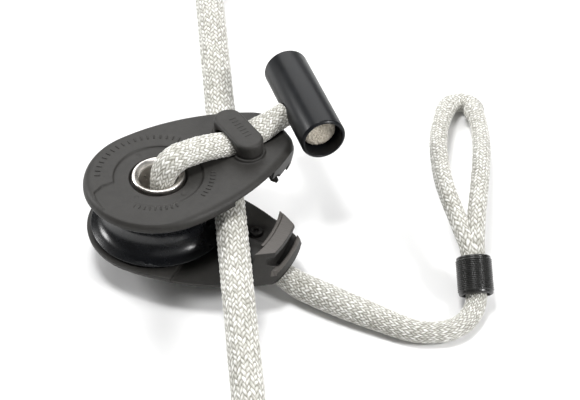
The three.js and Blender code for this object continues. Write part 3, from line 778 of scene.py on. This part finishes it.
def lathe_solid(profile, segments=160):
    return new_object("solid", lathe_mesh("solid", profile, segments), None)


def ring_faces(total, count):
    """The quads that join each ring of count points to the next."""
    faces = []
    for k in range(0, total - count, count):
        for i in range(count):
            j = (i + 1) % count
            faces.append([k + i, k + j, k + count + j, k + count + i])
    return faces


def lofted(verts, count):
    """A closed solid through rings of count points each."""
    caps = [list(range(count)), list(range(len(verts) - count, len(verts)))]
    return solid(verts, caps + ring_faces(len(verts), count))


def stacked(layers):
    """A closed solid through outlines of equal length, each with its own height."""
    return lofted([(x, y, z) for outline, z in layers for x, y in outline], len(layers[0][0]))


def inset(outline, by):
    points = np.array(outline)
    tangent = np.roll(points, -1, 0) - np.roll(points, 1, 0)
    tangent /= np.linalg.norm(tangent, axis=1)[:, None]
    return points - by * np.column_stack([tangent[:, 1], -tangent[:, 0]])


def prism(outline, z0, z1, top_round=0.0, steps=7):
    layers = [(np.array(outline), z0)]
    for k in range(steps + 1 if top_round else 1):
        angle = math.pi / 2 * k / steps
        by = top_round * (1 - math.cos(angle))
        layers.append((inset(outline, by), z1 - top_round * (1 - math.sin(angle))))
    return stacked(layers)


def box(x0, x1, y0, y1, z0, z1):
    return stacked([([(x0, y0), (x1, y0), (x1, y1), (x0, y1)], z) for z in (z0, z1)])


def disc(radius, z0, z1, x=0.0, y=0.0, sides=48):
    ring = [(x + radius * math.cos(2 * math.pi * k / sides), y + radius * math.sin(2 * math.pi * k / sides))
            for k in range(sides)]
    return stacked([(ring, z0), (ring, z1)])


def tube(route, half_w, half_h, side_hint=(0, 1, 0), sides=40):
    data, _ = spline(sized(route, half_w, half_h), 1.0)
    line = data[:, :3]
    side, up = frames_along(line, side_hint)
    verts = []
    for centre, s, u in zip(line, side, up):
        for k in range(sides):
            angle = 2 * math.pi * (k + 0.5) / sides
            verts.append(centre + half_w * math.cos(angle) * s + half_h * math.sin(angle) * u)
    return lofted(verts, sides)


def bake(obj):
    evaluated = obj.evaluated_get(bpy.context.evaluated_depsgraph_get())
    mesh = bpy.data.meshes.new_from_object(evaluated)
    obj.modifiers.clear()
    mesh.materials.clear()
    mesh.polygons.foreach_set("material_index", [0] * len(mesh.polygons))
    old = obj.data
    obj.data = mesh
    bpy.data.meshes.remove(old)


def combine(target, how, *tools):
    for tool in tools:
        modifier = target.modifiers.new("combine", "BOOLEAN")
        modifier.operation = how
        modifier.solver = "MANIFOLD"
        modifier.object = tool
        bake(target)
        mesh = tool.data
        bpy.data.objects.remove(tool)
        bpy.data.meshes.remove(mesh)
    return target


def cut(target, *tools):
    return combine(target, "DIFFERENCE", *tools)


def add(target, *tools):
    return combine(target, "UNION", *tools)


def common(target, *tools):
    return combine(target, "INTERSECT", *tools)


def transform(obj, matrix):
    obj.data.transform(Matrix(matrix))
    if np.linalg.det(np.array(matrix)[:3, :3]) < 0:
        obj.data.flip_normals()
    return obj


MIRROR_Z = [[1, 0, 0, 0], [0, 1, 0, 0], [0, 0, -1, 0], [0, 0, 0, 1]]


def moulded(obj, name, voxel, passes):
    """Draws the sharp solid out as a moulding, with small fillets in every corner."""
    remesh = obj.modifiers.new("remesh", "REMESH")
    remesh.mode = "VOXEL"
    remesh.voxel_size = voxel
    smooth = obj.modifiers.new("smooth", "SMOOTH")
    smooth.factor = 0.5
    smooth.iterations = passes
    bake(obj)
    obj.name = name
    obj.data.name = name


# ---------- cheeks ----------
side_centre = -(SIDE_R - CHEEK_R) * np.array([math.cos(SIDE_START), math.sin(SIDE_START)])


def side_y(x):
    return side_centre[1] + math.sqrt(SIDE_R**2 - (x - side_centre[0]) ** 2)


def corner_centre(radius):
    from_hub = HEAD_R - radius
    from_side = SIDE_R - radius
    apart = np.linalg.norm(side_centre)
    along = (from_hub**2 - from_side**2 + apart**2) / (2 * apart)
    across = math.sqrt(from_hub**2 - along**2)
    way = side_centre / apart
    return np.array([way[0] * along - way[1] * across, way[1] * along + way[0] * across])


def arc(centre, radius, start, end, steps):
    angles = start + (end - start) * np.arange(steps) / steps
    return [(centre[0] + radius * math.cos(a), centre[1] + radius * math.sin(a)) for a in angles]


def cheek_outline(corner_r):
    corner = corner_centre(corner_r)
    head_angle = math.atan2(corner[1], corner[0])
    side_angle = math.atan2(corner[1] - side_centre[1], corner[0] - side_centre[0])
    half = [
        *arc((0, 0), HEAD_R, 0, head_angle, 16),
        *arc(corner, corner_r, head_angle, side_angle, 14),
        *arc(side_centre, SIDE_R, side_angle, SIDE_START, 30),
        *arc((0, 0), CHEEK_R, SIDE_START, math.pi, 44),
    ]
    return [*half, (-CHEEK_R, 0), *[(x, -y) for x, y in half[:0:-1]]]


def head_taper(z_wide, z_narrow):
    layers = []
    for z, by in ((z_wide, 0.0), (z_narrow, END_DRAFT * abs(z_narrow - z_wide))):
        side = [(x, side_y(x) - by) for x in np.linspace(43, 64, 12)]
        layers.append(([(x, -y) for x, y in side] + side[::-1], z))
    return stacked(layers)


def face_recess():
    """The sunk floor round the rim; on the near side it runs out over the cheek's edge."""
    floor = FACE_Z - RECESS_DEPTH
    bowl = lathe_solid([(0, floor), (RECESS_R - 0.3, floor), (RECESS_R + 0.5, FACE_Z + 1), (0, FACE_Z + 1)])
    edge = [(19, 160), (24, 163), (28.4, 170), (29.3, 181), (29.6, 191), (36, 196), (40, 225), (40, 255),
            (36, 278), (22, 284), (10, 280), (10, 200)]
    outline = [polar(r, a) for r, a in edge]
    deep, level = np.array([-28.0, -6.0]), np.array([9.0, -24.0])
    away = deep - level
    low = []
    for x, y in outline:
        share = np.dot(np.array([x, y]) - level, away) / np.dot(away, away)
        low.append((x, y, FACE_Z + 0.02 - (RECESS_DEPTH + 0.02) * share))
    return bowl, lofted(low + [(x, y, FACE_Z + 2) for x, y in outline], len(outline))


def gate_marks():
    return [disc(1.15, FACE_Z - RECESS_DEPTH - 0.22, FACE_Z + 1, *polar(r, a), 24)
            for r, a in ((15.6, 205), (15.6, 283), (16.4, 92))]


def keeper_outline(grow):
    half = KEEPER_WIDTH / 2 + grow
    straight = KEEPER_HALF + grow - half
    up = arc((KEEPER_X, straight), half, 0, math.pi, 24)
    down = arc((KEEPER_X, -straight), half, math.pi, 2 * math.pi, 24)
    return [*up, (KEEPER_X - half, straight), *down, (KEEPER_X + half, -straight)]


def strop_trough():
    return tube(UPPER_LEG[4:], TROUGH_HALF_W + 2 * GAP, STROP_HALF_H + 2 * GAP)


def cheek_shell(corner_r):
    """A cheek with its outer face up, before its latch is added."""
    plate = prism(cheek_outline(corner_r), HUB_PAD_Z, FACE_Z, CHEEK_ROUND, 9)
    cut(plate, box(PAD_STEP_X, 80, -60, 60, 0, HEAD_PAD_Z))
    cut(plate, *face_recess())
    cut(plate, *gate_marks())
    boss = tube(UPPER_LEG[6:13], TROUGH_HALF_W + 1.8, STROP_HALF_H + 2.3)
    add(plate, common(boss, box(22, 50, -30, 30, 8, FACE_Z - 1)))
    plinth = prism(keeper_outline(0.8), HEAD_PAD_Z, PLINTH_Z, 0.5, 3)
    foot = KEEPER_FOOT_Y - 1
    add(plate, cut(plinth, box(0, 80, -foot, foot, 0, 30)))
    cut(plate, strop_trough())
    tube_r = HUB_TUBE_R + GAP
    cut(plate, lathe_solid([
        (0, HUB_PAD_Z - 1), (tube_r, HUB_PAD_Z - 1), (tube_r, RIM_SKIRT_Z - GAP),
        (CHEEK_BORE_R - 1, RIM_SKIRT_Z - GAP), (CHEEK_BORE_R, FACE_Z + 1), (0, FACE_Z + 1),
    ]))
    for y in (SCREW_Y, -SCREW_Y):
        cut(plate, disc(1.6, 0, 30, KEEPER_X, y), disc(3, 0, 13.6, KEEPER_X, y))
    return plate


def line_space(degrees, start, end):
    route = np.array([along_line(d) for d in (start, (start + end) / 2, end)]) @ turn_z(-degrees).T
    return tube(route, LINE_R + GAP, LINE_R + GAP, (0, 0, 1), 32)


def make_upper_cheek():
    outer = HORN_OUT_R + GAP
    section = [
        (45.5, HEAD_ROOT_Z), (47.4, 9.5), (48.4, 5), (49.1, -2.4), (52.4, -2.4), (52.4, -1), (50.6, -1),
        (50.6, CHANNEL_TOP_Z), (outer, CHANNEL_TOP_Z), (outer, -1.9), (58.2, -1.9), (58.2, -3.2),
        (61.2, -3.2), (HEAD_R, -2.6), (HEAD_R, 11.4), (58, HEAD_ROOT_Z),
    ]
    outline = prism(cheek_outline(UPPER_CORNER_R), -5, FACE_Z)
    head = common(lathe_solid(section, HEAD_SEGMENTS), head_taper(HEAD_ROOT_Z, -3.5), outline)
    cut(head, box(40, 53, 12.4, 30, -5, HEAD_PAD_Z - 2), line_space(OPEN_ANGLE + 2, 20, 60),
        line_space(0, -20, -60))
    cheek = add(cheek_shell(UPPER_CORNER_R), head)
    cut(cheek, strop_trough())
    moulded(cheek, "upper_cheek_moulded", 0.3, 3)
    cheek.data.transform(placed(UPPER))
    cheek.data.materials.append(CHEEK)
    finish_piece(cheek, "swinging_cheek", "cheek_plastic", "upper_cheek")


def channel_ramp():
    """The floor of the channel behind the horn climbs towards the near wall, where the channel ends."""
    slope = [(-16, -12), (-4, -12), (-4, -10.5), (-16, -1.6)]
    band = lathe_solid([(56.2, -11), (59.3, -11), (59.3, -1.5), (56.2, -1.5)], HEAD_SEGMENTS)
    return common(band, lofted([(x, y, z) for x in (54, 62) for y, z in slope], len(slope)))


def make_lower_cheek():
    section = [
        (48.6, -HEAD_ROOT_Z), (51.6, -10.5), (HORN_IN_R, -8.5), (HORN_IN_R, HORN_TOP_Z),
        (HORN_OUT_R, HORN_TOP_Z), (HORN_OUT_R, -1.2), (56.8, -1.6), (56.4, -10.2), (58.9, -10.2),
        (59.5, -7.0), (60.3, -6.9), (61.1, -8.2), (HEAD_R, -11.4), (58, -HEAD_ROOT_Z),
    ]
    root = HORN_IN_R + 1
    lip_section = [(HORN_LIP_R, -0.6), (root, -0.6), (root, 0.5), (HORN_LIP_R, 0.5)]
    lip = common(lathe_solid(lip_section, HEAD_SEGMENTS), box(40, 60, -7.5, 30, -2, 2))
    head = add(lathe_solid(section, HEAD_SEGMENTS), lip, channel_ramp())
    common(head, head_taper(-HEAD_ROOT_Z, HORN_TOP_Z + 1))
    cheek = add(transform(cheek_shell(HEAD_CORNER_R), MIRROR_Z), head)
    cut(cheek, transform(strop_trough(), MIRROR_Z))
    moulded(cheek, "lower_cheek_moulded", 0.3, 3)
    cheek.data.materials.append(CHEEK)
    cheek.data.materials.append(HORN)
    # faces of the horn's top and of the lip that look up take the lighter horn material, a painted highlight
    # on these tops
    for polygon in cheek.data.polygons:
        at = polygon.center
        if at.x > 48 and at.z > -1.4 and polygon.normal.z > 0.75:
            polygon.material_index = 1
        if math.hypot(at.x, at.y) > 59.2 and at.z > -9.4 and polygon.normal.z > 0.25:
            polygon.material_index = 1
    cheek.data.transform(placed())
    finish_piece(cheek, "block", "cheek_plastic", "lower_cheek")


def make_keeper(name, node, body, turn, mirror):
    cap = prism(keeper_outline(0), PLINTH_Z + GAP, KEEPER_TOP_Z, 1.5, 7)
    cut(cap, tube(UPPER_LEG[6:13], KEEPER_FOOT_Y, STROP_HALF_H + 2 * GAP))
    for y in (SCREW_Y, -SCREW_Y):
        cut(cap, disc(1.25, 0, KEEPER_TOP_Z - 2.5, KEEPER_X, y))
    moulded(cap, name, 0.22, 3)
    if mirror:
        transform(cap, MIRROR_Z)
    cap.data.transform(placed(turn))
    cap.data.materials.append(CHEEK)
    finish_piece(cap, body, "cheek_plastic", node)


def ticks(name, places, body, turn, mirror):
    """Short raised grip bars: each is [x, y, z, direction in degrees, length, width, height]."""
    verts, faces = [], []
    lengthwise, crosswise = 11, 7
    for x, y, z, degrees, length, width, height in places:
        base = len(verts)
        c, s = math.cos(math.radians(degrees)), math.sin(math.radians(degrees))
        for i in range(lengthwise):
            a = 2 * i / (lengthwise - 1) - 1
            for j in range(crosswise):
                b = 2 * j / (crosswise - 1) - 1
                taper = (1 - abs(a) ** 6) ** 0.5
                p, q = a * length / 2, b * width / 2 * (0.4 + 0.6 * taper)
                rise = height * (1 - abs(b) ** 3) * taper
                verts.append((x + p * c - q * s, y + p * s + q * c, (z + rise) * mirror))
        for i in range(lengthwise):
            for j in (0, crosswise - 1):
                px, py, _ = verts[base + i * crosswise + j]
                verts.append((px, py, (z - 0.2) * mirror))
        low = base + lengthwise * crosswise
        for i in range(lengthwise - 1):
            for j in range(crosswise - 1):
                k = base + i * crosswise + j
                faces.append([k, k + crosswise, k + crosswise + 1, k + 1])
            left, right = base + i * crosswise, base + i * crosswise + crosswise - 1
            a, b = low + 2 * i, low + 2 * i + 1
            faces.append([left, a, a + 2, left + crosswise])
            faces.append([right, right + crosswise, b + 2, b])
            faces.append([a, b, b + 2, a + 2])
        last = lengthwise - 1
        faces.append([base + j for j in range(crosswise)] + [low + 1, low])
        far = base + last * crosswise
        faces.append([far + j for j in range(crosswise)][::-1] + [low + 2 * last, low + 2 * last + 1])
    obj = solid(verts, faces)
    obj.name = name
    obj.data.name = name
    obj.data.transform(placed(turn))
    obj.data.materials.append(CHEEK)
    finish_piece(obj, body, "cheek_plastic", sharp=60)


def tick_places():
    """Three arcs of bars on a cheek's face; the second lies on the sloping sunk floor."""
    width, height = 0.8, 0.34
    places = []
    for k in range(18):
        degrees = 148 - k * 6.4
        radius = 24.6 + 1.2 * math.sin(math.radians(degrees * 1.2 - 60))
        places.append((*polar(radius, degrees), FACE_Z, degrees, 2.6, width, height))
    for k in range(9):
        degrees = -148 + k * 6.3
        floor = FACE_Z - RECESS_DEPTH * (0.9 - 0.085 * k)
        places.append((*polar(20.6, degrees), floor, degrees, 2.4, width, height))
    for k in range(8):
        degrees = -66 + k * 5.4
        places.append((*polar(23.0, degrees), FACE_Z, degrees, 2.4, width, height))
    return places


def keeper_bars():
    return [(KEEPER_X + 0.9, y, KEEPER_TOP_Z, 0, 3.4, 0.8, 0.22) for y in np.linspace(-6.4, 6.4, 7)]


make_upper_cheek()
make_lower_cheek()
make_keeper("upper_keeper_moulded", "upper_keeper", "swinging_cheek", UPPER, False)
make_keeper("lower_keeper_moulded", "lower_keeper", "block", np.eye(3), True)
ticks("upper_cheek_grip_ticks", tick_places(), "swinging_cheek", UPPER, 1)
ticks("lower_cheek_grip_ticks", tick_places(), "block", np.eye(3), -1)
ticks("upper_keeper_bars", keeper_bars(), "swinging_cheek", UPPER, 1)
ticks("lower_keeper_bars", keeper_bars(), "block", np.eye(3), -1)


# ---------- toggle ----------
def make_toggle():
    basis = toggle_basis()
    back, front = -TOGGLE_HALF, TOGGLE_HALF + TOGGLE_LIP
    mouth, edge = 0.3, 0.8
    profile = [
        (TOGGLE_BORE_R, back + mouth), (TOGGLE_BORE_R + mouth, back),
        (TOGGLE_R - edge, back), (TOGGLE_R, back + edge),
        (TOGGLE_R, front - edge), (TOGGLE_R - edge, front),
        (TOGGLE_BORE_R + mouth, front), (TOGGLE_BORE_R, front - mouth),
    ]
    name = "toggle_tube_turned"
    body = new_object(name, lathe_mesh(name, rounded(profile, 0.3), 144), None)
    inward = basis.T @ np.array([math.cos(LEG_RISE), 0, math.sin(LEG_RISE)])
    side = unit(np.cross([0, 0, 1], inward))
    turn = np.column_stack([side, np.cross(inward, side), inward])
    entry = disc(TOGGLE_ENTRY_R, -TOGGLE_R - 4, 0, 0, 0, 64)
    matrix = np.eye(4)
    matrix[:3, :3] = turn
    cut(body, transform(entry, matrix.tolist()))
    body.data.transform(placed(UPPER @ basis, UPPER @ TOGGLE_AT))
    body.data.materials.append(anodised_material("toggle_anodised", 0.2, 0.38, UPPER @ basis[:, 2]))
    finish_piece(body, "toggle", "anodised", "toggle_tube", sharp=40)
    return body


def make_tail():
    """The strop's cut and melted end, a bundle of yarns packed inside the toggle."""
    rings, segments = 26, 96
    end = TOGGLE_HALF - TAIL_INSET
    verts = []
    for i in range(rings + 1):
        radius = (TAIL_R - 0.15) * i / rings
        for k in range(segments):
            angle = 2 * math.pi * k / segments
            x, y = radius * math.cos(angle), radius * math.sin(angle)
            rough = noise.noise(Vector((x * 1.1, y * 1.1, 4.0))) * 0.45
            rough += noise.noise(Vector((x * 3.1, y * 3.1, 9.0))) * 0.28
            crown = -1.1 * (i / rings) ** 6
            verts.append((x, y, end + rough + crown))
    for depth in (1.8, 6, 14, 24, end + 14):
        for k in range(segments):
            angle = 2 * math.pi * k / segments
            radius = TAIL_R + 0.12 * math.sin(14 * angle)
            verts.append((radius * math.cos(angle), radius * math.sin(angle), end - depth))
    faces = ring_faces(len(verts), segments)
    faces.append(list(range(len(verts) - segments, len(verts))))
    mesh = bpy.data.meshes.new("strop_tail_end")
    mesh.from_pydata(verts, [], faces)
    bm = bmesh.new()
    bm.from_mesh(mesh)
    bmesh.ops.remove_doubles(bm, verts=bm.verts, dist=1e-5)
    bmesh.ops.recalc_face_normals(bm, faces=bm.faces)
    bm.to_mesh(mesh)
    bm.free()
    mesh.transform(placed(UPPER @ toggle_basis(), UPPER @ TOGGLE_AT))
    obj = new_object("strop_tail_end", mesh, TAIL)
    finish_piece(obj, "toggle", "rope", "strop_tail", sharp=60)


toggle = make_toggle()
make_tail()


# ---------- the CAD nodes that stay ----------
KEPT = {
    "bearing_bush": FIBRE, "upper_ball_race": ACETAL, "lower_ball_race": ACETAL,
    "lower_keeper_screw_left": SCREW, "lower_keeper_screw_right": SCREW,
    "upper_keeper_screw_left": SCREW, "upper_keeper_screw_right": SCREW,
}
for node, material in KEPT.items():
    if not nodes[node].material_slots:
        nodes[node].data.materials.append(material)
    for material_slot in nodes[node].material_slots:
        material_slot.material = material


# ---------- floor and light ----------
def make_floor():
    shader = Shader("floor_pale", Roughness=0.75)
    shade = shader.noise(6, 2, 0.5)
    shader.link("Base Color", shader.ramp(shade, (0.3, (0.86, 0.86, 0.86)), (0.7, (0.88, 0.88, 0.88))))
    half = 4.0
    z = FLOOR_Z * MM
    mesh = bpy.data.meshes.new("floor")
    corners = [(-half, -half, z), (half, -half, z), (half, half, z), (-half, half, z)]
    mesh.from_pydata(corners, [], [(0, 1, 2, 3)])
    floor = new_object("floor", mesh, shader.material)


def area_light(name, at, target, size, power):
    data = bpy.data.lights.new(name, "AREA")
    data.shape = "RECTANGLE"
    data.size, data.size_y = size
    data.energy = power
    lamp = bpy.data.objects.new(name, data)
    lamp.location = at
    lamp.rotation_euler = (Vector(target) - Vector(at)).to_track_quat("-Z", "Y").to_euler()
    bpy.context.scene.collection.objects.link(lamp)


def make_light():
    world = bpy.data.worlds.new("studio")
    world.use_nodes = True
    background = world.node_tree.nodes["Background"]
    background.inputs["Color"].default_value = (1.0, 1.0, 1.0, 1)
    background.inputs["Strength"].default_value = 0.12
    bpy.context.scene.world = world
    centre = (0.02, 0.02, 0)
    area_light("back", (-0.33, 0.80, 0.78), centre, (1.2, 0.9), 9.5)
    area_light("top", (-0.1, -0.05, 1.1), centre, (0.3, 0.3), 8.0)
    area_light("front", (0.55, -0.75, 0.85), centre, (0.9, 0.7), 0.8)
    area_light("left_window", (-0.85, -0.05, 0.42), centre, (0.24, 0.26), 4.5)
    area_light("right_window", (0.85, -0.05, 0.62), centre, (0.26, 0.26), 7.5)
    bpy.context.scene.view_settings.view_transform = "Standard"


make_floor()
make_light()
